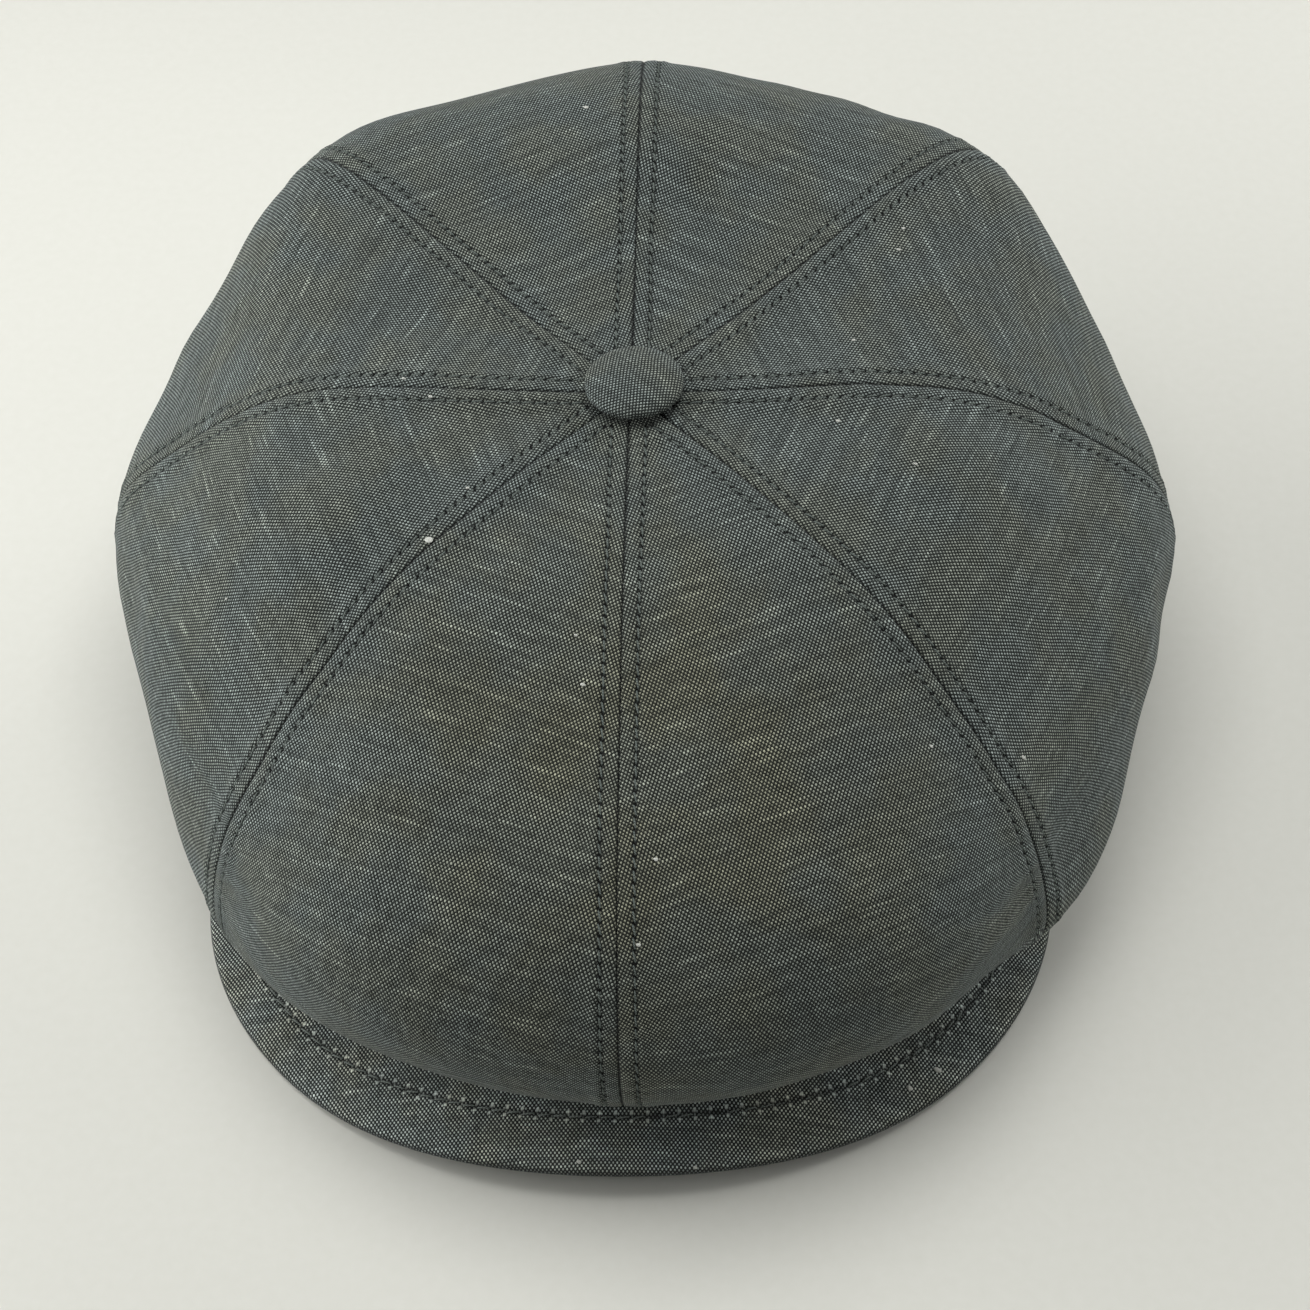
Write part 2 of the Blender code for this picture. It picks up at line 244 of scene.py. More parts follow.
def ripple(u, v, seed, wrap=RIPPLE_PERIOD):
    """Smooth unevenness from -1 to 1, about one bump to a unit, which repeats in u after wrap units."""
    heights = np.random.default_rng(seed).uniform(-1, 1, (wrap, RIPPLE_PERIOD))
    i, j = np.floor(u).astype(int), np.floor(v).astype(int)
    x, y = ease(u - i), ease(v - j)
    corners = [[heights[(i + a) % wrap, (j + b) % RIPPLE_PERIOD] for b in (0, 1)] for a in (0, 1)]
    near = corners[0][0] * (1 - y) + corners[0][1] * y
    far = corners[1][0] * (1 - y) + corners[1][1] * y
    return near * (1 - x) + far * x


def running(steps):
    """Running length along the first axis of a grid of points."""
    lengths = np.linalg.norm(np.diff(steps, axis=0), axis=-1)
    return np.concatenate([np.zeros_like(lengths[:1]), np.cumsum(lengths, 0)])


def unit(vectors):
    """The vectors at length 1."""
    return vectors / np.linalg.norm(vectors, axis=-1, keepdims=True)


def polar(azimuth, radius, *height):
    """Points at azimuths in radians and distances from the axis, flat or at the given heights."""
    return np.stack([radius * np.cos(azimuth), radius * np.sin(azimuth), *height], -1)


def lattice(across, down):
    """A grid of pairs, each place of the first list with each of the second."""
    return np.stack(np.meshgrid(across, down, indexing="ij"), -1)


def between(at, knots, table):
    """A table's rows, one to each knot, read at places between the knots."""
    return np.stack([np.interp(at, knots, column) for column in table.T], -1)


def ring_quads(number):
    """The quads between the rings of a tube, from the numbers of its points."""
    beside = np.roll(number, -1, 1)
    return np.stack([number[:-1], number[1:], beside[1:], beside[:-1]], -1).reshape(-1, 4).tolist()


def rim_radius(azimuth):
    """Distance of the rim's outer side from the button's axis, for an azimuth in radians."""
    oval = RIM_HALF_WIDTH * RIM_HALF_LENGTH
    oval = oval / np.hypot(RIM_HALF_LENGTH * np.cos(azimuth), RIM_HALF_WIDTH * np.sin(azimuth))
    return oval + RIM_CENTRE_Y * np.sin(azimuth)


def rim_height(azimuth):
    """The rim lies on the table all along its back half and rises to the peak at the front."""
    return RIM_FRONT_RISE * ease(-np.sin(azimuth))


def section_curve(section, azimuth, shares):
    """Radius, height and azimuth along one section, at shares of its length from the button's axis."""
    reach = section.reach * CROWN_REACH
    rim, foot = rim_radius(azimuth), rim_height(azimuth)
    stations = np.array(
        [
            (0.0, 0.0),
            (SEAT_RADIUS, 0.0),
            (INNER * reach, section.dip_inner),
            (MIDDLE * reach, section.dip_middle),
            (SHOULDER * reach, section.dip_shoulder),
            (reach, section.dip_wide),
        ]
    )
    stations[:, 1] = CROWN_HEIGHT * (1 - stations[:, 1])
    below = [
        (section.tuck * CROWN_REACH, foot + section.tuck_rise * CROWN_HEIGHT),
        (rim, foot + BAND_HEIGHT),
        (rim, foot),
    ]
    stations = np.vstack([stations, below])
    length = np.concatenate([[0.0], np.cumsum(np.hypot(*np.diff(stations, axis=0).T))])
    curve = spline(length / length[-1], stations, shares)
    lean = math.radians(section.turn) * np.sin(math.pi * np.minimum(shares / LEAN_END, 1.0))
    return np.column_stack([curve, azimuth + lean])


def outward(points):
    """Unit normals of a grid whose first axis closes on itself."""
    round_way = np.roll(points, -1, 0) - np.roll(points, 1, 0)
    down_way = np.gradient(points, axis=1)
    return unit(np.cross(down_way, round_way))


def crown_grid(shares):
    """Points of the crown's outer side, with their outward normals.

    The first axis runs once round the crown from the front seam, the second from the panels' tips to the rim,
    at shares of the sections' length.
    """
    half = len(SECTIONS) - 1
    step = math.pi / half
    right = [section_curve(s, -math.pi / 2 + i * step, shares) for i, s in enumerate(SECTIONS)]
    curves = np.array(right + [c * [1, 1, -1] + [0, 0, math.pi] for c in right[-2:0:-1]])
    around = np.arange(2 * half)
    even = -math.pi / 2 + around * step
    curves[..., 2] = (curves[..., 2] - even[:, None] + math.pi) % (2 * math.pi) - math.pi
    overlap = np.arange(-half, 3 * half + 1)
    lines = len(PANEL_PLACES) * PANEL_FINE
    places = np.arange(lines) * 2 * half / lines
    radius, height, turn = np.moveaxis(spline(overlap, curves[overlap % (2 * half)], places), -1, 0)
    azimuth = turn + (-math.pi / 2 + places * step)[:, None]
    hold, rim = shares**RIM_HOLD, azimuth[:, -1:]
    radius = radius + (rim_radius(rim) - radius[:, -1:]) * hold
    height = height + (rim_height(rim) - height[:, -1:]) * hold
    points = polar(azimuth, radius, height)
    for dent in DENTS + DRAPE:
        off = (azimuth - math.radians(dent.place) + math.pi) % (2 * math.pi) - math.pi
        push = dent.depth * CROWN_REACH * hump(off, math.radians(dent.across))
        points -= (push * hump(shares - dent.down, dent.along))[..., None] * outward(points)
    return rumpled(points, azimuth, shares)


def rumpled(points, azimuth, shares):
    """The crown with the soft unevenness of worn linen, which fades out at the tips and at the rim."""
    turn = (azimuth / math.tau) % 1.0
    down = np.broadcast_to(shares, azimuth.shape)
    lift = BROAD_RUMPLE * ripple(turn * 26, down * 9, 11, 26) * ease(down / 0.3)
    lift += FINE_RUMPLE * ripple(turn * 70, down * 26, 12, 70) * ease(down / 0.35)
    lift *= ease((1 - down) / 0.08)
    points = points + lift[..., None] * outward(points)
    return points, outward(points)


def sewn_height(off, from_hole, pitch, gather, hole_sink):
    """How far the needle moves the cloth, at distances from the row and, along it, from the nearest hole."""
    sink = ROW_SINK * hump(off, ROW_WIDTH) + hole_sink * hump(off, HOLE_RADIUS) * hump(from_hole, HOLE_RADIUS)
    puff = -PUFF * np.cos(math.tau * from_hole / pitch) * hump(off, PUFF_WIDTH)
    return puff - sink + PUCKER * gather * hump(off, 2 * PUFF_WIDTH)


def count_stitches(length, pitch, seed):
    """Count of stitches along a row. The feed wanders a little."""
    return (length + FEED_WANDER * ripple(length / (11 * MM), 0 * length, seed)) / pitch


def spread_columns(width):
    """Distances across one row of a panel: close together along both edges, wider apart between."""
    edge = PANEL_ZONE * min(1.0, EDGE_SHARE * width / PANEL_ZONE[-1]) + EDGE_START
    middle = np.linspace(edge[-1], width - edge[-1], PANEL_MIDDLE + 1)[1:-1]
    return np.concatenate([edge, middle, width - edge[::-1]])


def grain_of(points, middle):
    """Each point's place in the flat, cut panel: across its middle line, and along it from the tip.

    Weft threads lie square to the middle line, so a point belongs to the place on that line whose square
    plane goes through it. The line is carried on past both ends for the points that lie beyond them.
    """
    reach = 40 * MM
    first, last = middle[1] - middle[0], middle[-1] - middle[-2]
    before = middle[0] - reach * first / np.linalg.norm(first)
    after = middle[-1] + reach * last / np.linalg.norm(last)
    middle = np.vstack([before, middle, after])
    along = running(middle) - reach
    tangent = np.gradient(middle, along, axis=0)
    sideways = np.stack([-middle[:, 1], middle[:, 0], 0 * along], -1)
    place = np.broadcast_to(along[1:-1], points.shape[:2]).copy()
    for _ in range(7):
        centre, ahead, side = (between(place, along, table) for table in (middle, tangent, sideways))
        away = points - centre
        place += 0.8 * (away * ahead).sum(-1) / np.linalg.norm(ahead, axis=-1)
    across = np.sign((away * side).sum(-1)) * np.linalg.norm(away, axis=-1)
    return np.stack([across, place], -1)


# A sheet's skins are grids of points; kept says which columns of the outer one the inner one has.
Sheet = namedtuple("Sheet", "outer inner kept grain seams")
Row = namedtuple("Row", "line normal beat")


def cut_panel(number, crown):
    """One panel: its skins with their cloth coordinates, and its two rows of topstitches."""
    lines = (number * PANEL_FINE + np.arange(PANEL_FINE + 1)) % len(crown[0])
    points, normals = crown[0][lines], crown[1][lines]
    across = running(points)
    width = across[-1]
    rows = np.arange(len(width))

    def read(table, at):
        """The table at distances across each row."""
        place = np.stack([np.interp(at[:, r], across[:, r], np.arange(PANEL_FINE + 1)) for r in rows], 1)
        cell = np.minimum(place.astype(int), PANEL_FINE - 1)
        share = (place - cell)[..., None]
        return table[cell, rows] * (1 - share) + table[cell + 1, rows] * share

    length = np.stack([running(points[side]) + TIP_RADIUS for side in (0, -1)])
    seeds = 2 * number, 2 * number + 1
    beat = np.stack([count_stitches(run, STITCH_PITCH, 40 + seed) for run, seed in zip(length, seeds)])
    drift = np.stack([ripple(run / (23 * MM), 0 * run, 60 + seed) for run, seed in zip(length, seeds)])
    drift *= ROW_WANDER
    wanted = np.stack([spread_columns(w) for w in width], 1)
    base, normal = read(points, wanted), read(normals, wanted)
    left = wanted < width / 2
    distance = np.where(left, wanted, width - wanted)
    run, count, wander = (np.where(left, *pair) for pair in (length, beat, drift))
    gather = ripple(run / (3.1 * MM), distance / (2.4 * MM) + left * 31, 80 + number)
    height = ALLOWANCE_RISE * (1 - ease((distance - ALLOWANCE) / (2 * ALLOWANCE_FEATHER) + 0.5))
    height -= SEAM_DROP * (0.7 * hump(distance, SEAM_TURN) + 0.3 * hump(distance, SEAM_ROLL))
    from_hole = (count - np.round(count)) * STITCH_PITCH
    height += sewn_height(distance - STITCH_ROW + wander, from_hole, STITCH_PITCH, gather, HOLE_SINK)
    # Under the button's shank the cloth is pressed flat.
    height *= ease((run - SHANK_RADIUS) / (BUTTON_RADIUS - SHANK_RADIUS))
    # The rim is a rounded fold.
    to_rim = running(base.swapaxes(0, 1)[::-1])[::-1].T
    round_off = PANEL_CLOTH / 2
    near = np.minimum(to_rim, round_off)
    height = height * ease(to_rim / RIM_EASE) - round_off + np.sqrt(round_off**2 - (round_off - near) ** 2)
    grain = grain_of(base, read(points, width[None] / 2)[0])
    stitched = []
    for side in (0, 1):
        from_seam = STITCH_ROW - drift[side]
        at = (width - from_seam if side else from_seam)[None]
        level = (ALLOWANCE_RISE * ease((length[side][-1] - length[side]) / RIM_EASE))[:, None]
        up = read(normals, at)[0]
        keep = width > ROW_ROOM * STITCH_ROW
        stitched.append(Row((read(points, at)[0] + level * up)[keep], up[keep], beat[side][keep]))
    kept = np.linspace(0, len(wanted) - 1, LINING_CELLS + 1).round().astype(int)
    inner = base[kept] - PANEL_CLOTH * normal[kept]
    inner[:, -1] = base[kept, -1] - 1.1 * round_off * normal[kept, -1]
    outer = base + height[..., None] * normal
    return Sheet(outer, inner, kept, grain, np.stack([distance + wander, count * MM], -1)), stitched


def peak_edge(share, azimuth):
    """The peak's outer edge from its left end to its right end, for shares from -1 to 1, on the table."""
    turn = np.radians(-90 + PEAK_EDGE_SPAN * share)
    depth = np.where(np.sin(turn) < 0, PEAK_FRONT_REACH + PEAK_WIDEST_BACK, PEAK_BACK_DEPTH)
    widest_y = RIM_CENTRE_Y - RIM_HALF_LENGTH + PEAK_WIDEST_BACK
    edge_x = PEAK_OFFSET + (RIM_HALF_WIDTH + PEAK_SIDE_REACH) * np.cos(turn)
    edge = np.stack([edge_x, widest_y + depth * np.sin(turn)], -1)
    ends = polar(azimuth, rim_radius(azimuth) + PEAK_END_REACH)
    miss = np.where(share[:, None] < 0, ends[0] - edge[0], ends[-1] - edge[-1])
    return edge + miss * np.abs(share)[:, None] ** PEAK_END_BEND


def peak_borders(share):
    """The peak's underside along the rim and along its outer edge."""
    azimuth = np.radians(-90 + PEAK_RIM_SPAN * share)
    height = rim_height(azimuth) - PEAK_GAP - PEAK_THICK
    at_rim = polar(azimuth, rim_radius(azimuth) - PANEL_CLOTH, height)
    to_table = np.minimum(np.abs(share) / PEAK_LIFTED_SHARE, 1.0)
    lift = PEAK_LIFT * np.cos(to_table * math.pi / 2) ** 2
    return at_rim, np.column_stack([peak_edge(share, azimuth), lift])


def peak_underside(share, distance):
    """Points of the peak's lower side at these distances from its outer edge, for each share."""
    at_rim, at_edge = peak_borders(share)
    back = distance / np.linalg.norm(at_rim - at_edge, axis=-1)[:, None]
    grid = at_edge[:, None] * (1 - back[..., None]) + at_rim[:, None] * back[..., None]
    grid[..., 2] += PEAK_BULGE * np.cos(share * math.pi / 2)[:, None] * np.sin(math.pi * back)
    return grid


def row_inset(share):
    """Distance of the peak's row of stitches from its edge."""
    return PEAK_ROW + PEAK_ROW_DRIFT * np.cos(share * math.pi / 2) ** 4


def peak_columns():
    """Shares along the peak's edge, some to each stitch of its row, and the count of stitches at each."""
    share = np.linspace(-1.0, 1.0, 4001)
    at_rim, at_edge = peak_borders(share)
    row = np.minimum(row_inset(share), EDGE_SHARE * np.linalg.norm(at_rim - at_edge, axis=-1))[:, None]
    count = count_stitches(running(peak_underside(share, row)[:, 0]), PEAK_PITCH, 21)
    beats = np.arange(0, count[-1], 1 / PEAK_COLUMNS_PER_STITCH)
    beats = np.append(beats[:-1], count[-1])
    return np.interp(beats, count, share), beats


def cut_peak(facing):
    """The peak's upper cloth (facing 1) or its lower cloth (facing -1), and its row of stitches."""
    share, beat = peak_columns()
    at_rim, at_edge = peak_borders(share)
    length = np.linalg.norm(at_rim - at_edge, axis=-1)
    zone = PEAK_ZONE * np.minimum(1.0, EDGE_SHARE * length / PEAK_ZONE[-1])[:, None]
    rest = np.linspace(zone[:, -1], length, PEAK_MIDDLE + 1, axis=1)[:, 1:]
    distance = np.concatenate([zone, rest], 1)[:, ::-1]
    middle = peak_underside(share, distance)
    middle[..., 2] += PEAK_THICK / 2
    wave = ripple(middle[..., 0] / (19 * MM) + 40, middle[..., 1] / (15 * MM) + 40, 22)
    from_end = np.minimum(running(at_edge), running(at_edge[::-1])[::-1])[:, None]
    round_off = PEAK_THICK / 2
    near = np.minimum(np.minimum(distance, from_end), round_off)
    rise = np.sqrt(round_off**2 - (round_off - near) ** 2)
    from_hole = ((beat - np.round(beat)) * PEAK_PITCH)[:, None]
    gather = ripple(beat[:, None] * PEAK_PITCH / (3.4 * MM), distance / (2.6 * MM), 23)
    inset = row_inset(share)[:, None]
    off = distance - inset
    sewn = sewn_height(off, from_hole, PEAK_PITCH, gather, PEAK_HOLE_SINK)
    sewn += TICK_RISE * hump(np.abs(off) - TICK_ASIDE, TICK_WIDTH) * hump(from_hole, TICK_WIDTH)
    # At the rim the crown lies close over the peak and holds it even.
    free = ease((length[:, None] - distance) / RIM_EASE)
    sewn *= free
    crack = EDGE_START / 2
    high = rise + crack + sewn * ease(near / round_off)
    up = np.array([0.0, 0.0, 1.0])
    middle = middle + (PEAK_WAVE * wave * free * ease(distance / (3 * MM)))[..., None] * up
    outer = middle + (facing * high)[..., None] * up
    inner = middle + (facing * np.maximum(rise - PEAK_CLOTH, crack / 2))[..., None] * up
    # The shader knows the row at one distance from the edge, so the cloth beside it is counted from there.
    counted = distance - (inset - PEAK_ROW) * ease(2 * distance / inset)
    seams = np.stack([counted, np.broadcast_to(beat[:, None] * MM, distance.shape)], -1)
    columns = np.arange(len(share))[::PEAK_COLUMNS_PER_STITCH]
    kept = np.unique(np.append(columns, len(share) - 1))
    # The cloth goes on round the edge, so there it comes from further out in the flat piece.
    turned = round_off * (math.pi / 2 - np.arccos(1 - near / round_off)) - (round_off - near)
    forward = ((at_edge - at_rim) / length[:, None])[:, None, :2]
    grain = middle[..., :2] + turned[..., None] * forward
    wide = length > ROW_ROOM * PEAK_ROW
    row = peak_underside(share, inset)[:, 0]
    row = row + (round_off * (1 + facing)) * up
    stitched = Row(row[wide], np.broadcast_to(facing * up, row.shape)[wide], beat[wide])
    if facing < 0:
        # Seen from below, the sheet's columns run the other way.
        outer, inner, grain, seams = (table[::-1] for table in (outer, inner, grain, seams))
        kept = len(share) - 1 - kept[::-1]
    return Sheet(outer, inner[kept], kept, grain, seams), stitched


def cloth_mesh(name, points, faces, maps, bake):
    """A piece from its points and faces. maps go by point, the baking map by face corner."""
    mesh = bpy.data.meshes.new(name)
    mesh.from_pydata(points.tolist(), [], faces)
    corner = np.empty(len(mesh.loops), int)
    mesh.loops.foreach_get("vertex_index", corner)
    for title, table in maps.items():
        layer = mesh.uv_layers.new(name=title)
        layer.uv.foreach_set("vector", table[corner].astype(np.float32).ravel())
    layer = mesh.uv_layers.new(name="OFBake")
    layer.uv.foreach_set("vector", np.asarray(bake, np.float32).ravel())
    mesh.shade_smooth()
    piece = bpy.data.objects.new(name, mesh)
    bpy.context.scene.collection.objects.link(piece)
    return piece


def sheet_piece(name, sheet):
    """A sheet as a closed piece. Its cloth coordinates are in millimetres."""
    outer, inner, kept = sheet.outer, sheet.inner, sheet.kept
    columns, rows = outer.shape[:2]
    over = np.arange(columns * rows).reshape(columns, rows)
    under = np.arange(len(kept) * rows).reshape(len(kept), rows) + columns * rows
    # In the baking map the outer skin takes the left four fifths and the inner one the right sixth. The edges
    # lie in strips between them and along the map's top and bottom.
    flat = lattice(np.linspace(0, 1, columns), np.linspace(0, 1, rows))
    over_map = flat * [0.79, 0.97] + [0.005, 0.015]
    under_map = flat[kept] * [0.17, 0.97] + [0.825, 0.015]
    faces, bake = [], []

    def skin(ids, places, flip):
        """Quads over a grid, with their places in the baking map."""
        ring = (slice(None, -1), slice(None, -1)), (slice(None, -1), slice(1, None))
        ring += (slice(1, None), slice(1, None)), (slice(1, None), slice(None, -1))
        quads = np.stack([ids[part] for part in ring], -1).reshape(-1, 4)
        spots = np.stack([places[part] for part in ring], 2).reshape(-1, 4, 2)
        turn = slice(None, None, -1 if flip else 1)
        faces.extend(quads[:, turn].tolist())
        bake.extend(spots[:, turn].reshape(-1, 2).tolist())

    skin(over, over_map, False)
    skin(under, under_map, True)
    for side, strip in ((0, 0.800), (-1, 0.812)):
        places = np.zeros((2, rows, 2))
        places[:, :, 0] = [[strip], [strip + 0.006]]
        places[:, :, 1] = np.linspace(0.015, 0.985, rows)
        skin(np.stack([over[side], under[side]]), places, side == 0)
    for end, strip in ((0, 0.004), (-1, 0.990)):
        for cell, (a, b) in enumerate(zip(kept[:-1], kept[1:])):
            ring = [int(under[cell, end]), int(under[cell + 1, end]), *over[a : b + 1, end][::-1].tolist()]
            spots = [(over_map[a, 0, 0], strip + 0.005), (over_map[b, 0, 0], strip + 0.005)]
            spots += [(over_map[k, 0, 0], strip) for k in range(b, a - 1, -1)]
            turn = slice(None, None, -1 if end == 0 else 1)
            faces.append(ring[turn])
            bake.extend(spots[turn])
    points = np.vstack([outer.reshape(-1, 3), inner.reshape(-1, 3)]) + AXIS
    far = np.full((len(kept) * rows, 2), HIDDEN)
    maps = {
        "grain": np.vstack([sheet.grain.reshape(-1, 2), sheet.grain[kept].reshape(-1, 2)]) / MM,
        "seams": np.vstack([sheet.seams.reshape(-1, 2) / MM, far]),
    }
    return cloth_mesh(name, points, faces, maps, bake)


def stitch_piece(name, rows, seed):
    """The stitches of these rows, each a short length of thread from one needle hole to the next."""
    share = np.linspace(0, 1, STITCH_RINGS)
    turn = np.arange(THREAD_SIDES) * math.tau / THREAD_SIDES
    uneven = np.random.default_rng(seed)
    tubes = []
    for row in rows:
        holes = np.arange(math.ceil(row.beat[0]), math.floor(row.beat[-1]))
        at = holes[:, None] + share
        spot, up = (between(at, row.beat, table) for table in (row.line, row.normal))
        side = unit(np.cross(up, spot[:, -1:] - spot[:, :1]))
        bow = 1 - np.abs(2 * share - 1) ** 5
        crest = THREAD_CREST * uneven.uniform(0.6, 1.4, (len(holes), 1))
        slant = THREAD_SLANT * uneven.uniform(0.4, 1.6, (len(holes), 1))
        lift = (crest + THREAD_DROP) * bow - THREAD_DROP - ROW_SINK
        centre = spot + lift[..., None] * up + (slant * (share - 0.5))[..., None] * side
        rise = unit(np.cross(np.gradient(centre, axis=1), side))
        radius = THREAD_RADIUS * (1 - 0.35 * np.abs(2 * share - 1) ** 4)[None, :, None, None]
        ring = 1.15 * np.cos(turn)[:, None] * side[:, :, None]
        ring = ring + 0.9 * np.sin(turn)[:, None] * rise[:, :, None]
        tubes.append(centre[:, :, None] + radius * ring)
    tubes = np.concatenate(tubes)
    number = np.arange(STITCH_RINGS * THREAD_SIDES).reshape(STITCH_RINGS, THREAD_SIDES)
    one, one_map = [], []
    for k in range(STITCH_RINGS - 1):
        for s in range(THREAD_SIDES):
            beside = (s + 1) % THREAD_SIDES
            one.append([number[k, s], number[k, beside], number[k + 1, beside], number[k + 1, s]])
            one_map += [(k, s), (k, s + 1), (k + 1, s + 1), (k + 1, s)]
    one_map = np.array(one_map) * [0.96 / (STITCH_RINGS - 1), 0.86 / THREAD_SIDES] + [0.02, 0.02]
    cap = polar(turn, 0.02)
    one += [number[0, ::-1], number[-1]]
    one_map = np.vstack([one_map, cap[::-1] + [0.1, 0.94], cap + [0.2, 0.94]])
    size = number.size
    faces = [[int(v) + tube * size for v in face] for tube in range(len(tubes)) for face in one]
    twist = lattice(share, turn / math.tau).reshape(-1, 2)
    maps = {"grain": np.tile(twist, (len(tubes), 1))}
    return cloth_mesh(name, tubes.reshape(-1, 3) + AXIS, faces, maps, np.tile(one_map, (len(tubes), 1)))


# The covered button's cloth is cut askew to the crown's and pleated in under its edge.
BUTTON_GRAIN = math.radians(42)
BUTTON_PLACE = 300  # millimetres along the cloth, where no other piece is cut
BUTTON_PLEATS = 22
PLEAT_DEPTH = 0.16 * MM
# In the photograph it seems to stand off its solid's place to the right and front and to tip back.
BUTTON_SHIFT = np.array([1.1, -0.6, 1.1]) * MM
BUTTON_LEAN = -math.tan(math.radians(3))


def button_piece():
    """The covered button: a dome of cloth drawn over a disc and gathered in beneath, on its shank."""
    base = CROWN_HEIGHT + BUTTON_GAP
    rim = base + SHANK_HEIGHT
    shoulder = rim + BUTTON_EDGE
    dome = np.radians(np.linspace(90, 0, 22))
    profile = list(zip(BUTTON_RADIUS * np.cos(dome), shoulder + BUTTON_DOME * np.sin(dome)))[1:]
    profile += [(BUTTON_RADIUS, shoulder - 0.35 * BUTTON_EDGE), (BUTTON_RADIUS, rim + BUTTON_ROLL)]
    profile += [(BUTTON_RADIUS - 0.35 * MM, rim + 0.15 * MM), (BUTTON_RADIUS - 1.2 * MM, rim)]
    profile += [(SHANK_RADIUS + 0.4 * MM, rim), (SHANK_RADIUS, rim - 0.3 * MM), (SHANK_RADIUS, base)]
    profile = np.array(profile)
    turn = np.arange(BUTTON_SIDES) * math.tau / BUTTON_SIDES
    top = np.array([[0.0, shoulder + BUTTON_DOME]])
    length = running(np.vstack([top, profile]))[1:]
    # Pleats begin near the shoulder and deepen towards the underside.
    pleat = PLEAT_DEPTH * ease((length - 0.75 * BUTTON_RADIUS) / (0.45 * BUTTON_RADIUS))
    wave = np.cos(BUTTON_PLEATS * turn + 1.3 * ripple(turn * 4, 0 * turn, 31))
    radius = profile[:, :1] + pleat[:, None] * (wave - 1) / 2
    height = np.broadcast_to(profile[:, 1:], radius.shape)
    grid = polar(turn, radius, height)
    ends = np.array([[0.0, 0.0, shoulder + BUTTON_DOME], [0.0, 0.0, base]])
    points = np.vstack([grid.reshape(-1, 3), ends])
    # The dome leans on its shank. The shank's foot stays where it is sewn on.
    lean = ease((points[:, 2] - base) / SHANK_HEIGHT)
    points += lean[:, None] * BUTTON_SHIFT
    points[:, 2] += lean * (points[:, 1] * BUTTON_LEAN)
    points += AXIS
    number = np.arange(grid.shape[0] * BUTTON_SIDES).reshape(-1, BUTTON_SIDES)
    beside = np.roll(number, -1, 1)
    crown, foot = number.size, number.size + 1
    faces = ring_quads(number)
    faces += [[crown, a, b] for a, b in zip(number[0].tolist(), beside[0].tolist())]
    faces += [[foot, b, a] for a, b in zip(number[-1].tolist(), beside[-1].tolist())]
    spread = polar(turn + BUTTON_GRAIN, length[:, None]).reshape(-1, 2)
    spread = np.vstack([spread, np.zeros((2, 2))])
    grain = spread / MM + BUTTON_PLACE
    disc = spread * (0.42 / length[-1]) + 0.5
    bake = np.array([disc[v] for face in faces for v in face])
    # The hidden foot gets a small disc of its own in a corner of the baking map.
    corner = 0.06
    small = polar(turn, 0.04) + corner
    fan = np.stack([np.full_like(small, corner), np.roll(small, -1, 0), small], 1)
    bake[-3 * BUTTON_SIDES :] = fan.reshape(-1, 2)
    seams = np.full((len(points), 2), HIDDEN)
    return cloth_mesh("button_cover", points, faces, {"grain": grain, "seams": seams}, bake)


# Neps: small knots of flax fibre caught in the yarn. x and y are where the photograph shows each, in its
# pixels, and the cloth that shows there carries it. long and wide are half its size in millimetres.
Nep = namedtuple("Nep", "x y long wide")
NEPS = (
    Nep(428, 538, 1.1, 0.85),
    Nep(589, 104, 0.9, 0.45),
    Nep(430, 395, 0.7, 0.50),
    Nep(402, 378, 0.6, 0.40),
    Nep(468, 486, 0.5, 0.40),
    Nep(902, 224, 0.7, 0.40),
    Nep(900, 248, 0.7, 0.40),
    Nep(854, 339, 0.6, 0.45),
    Nep(838, 421, 0.7, 0.40),
    Nep(915, 461, 0.7, 0.35),
    Nep(1030, 757, 0.8, 0.50),
    Nep(937, 745, 0.6, 0.40),
    Nep(953, 772, 0.5, 0.40),
    Nep(966, 897, 0.9, 0.50),
    Nep(864, 990, 0.5, 0.50),
    Nep(661, 857, 0.6, 0.45),
    Nep(639, 944, 0.6, 0.50),
    Nep(580, 682, 0.6, 0.45),
    Nep(573, 632, 0.5, 0.40),
    Nep(326, 773, 0.7, 0.35),
    Nep(326, 825, 0.6, 0.35),
    Nep(221, 597, 0.5, 0.35),
    Nep(937, 1069, 1.3, 0.70),
    Nep(912, 1088, 1.0, 0.60),
    Nep(578, 1162, 0.7, 0.50),
    Nep(695, 1168, 0.6, 0.40),
)
NEP_TALL = 0.30  # half its height, in millimetres
NEP_LIFT = 0.05 * MM


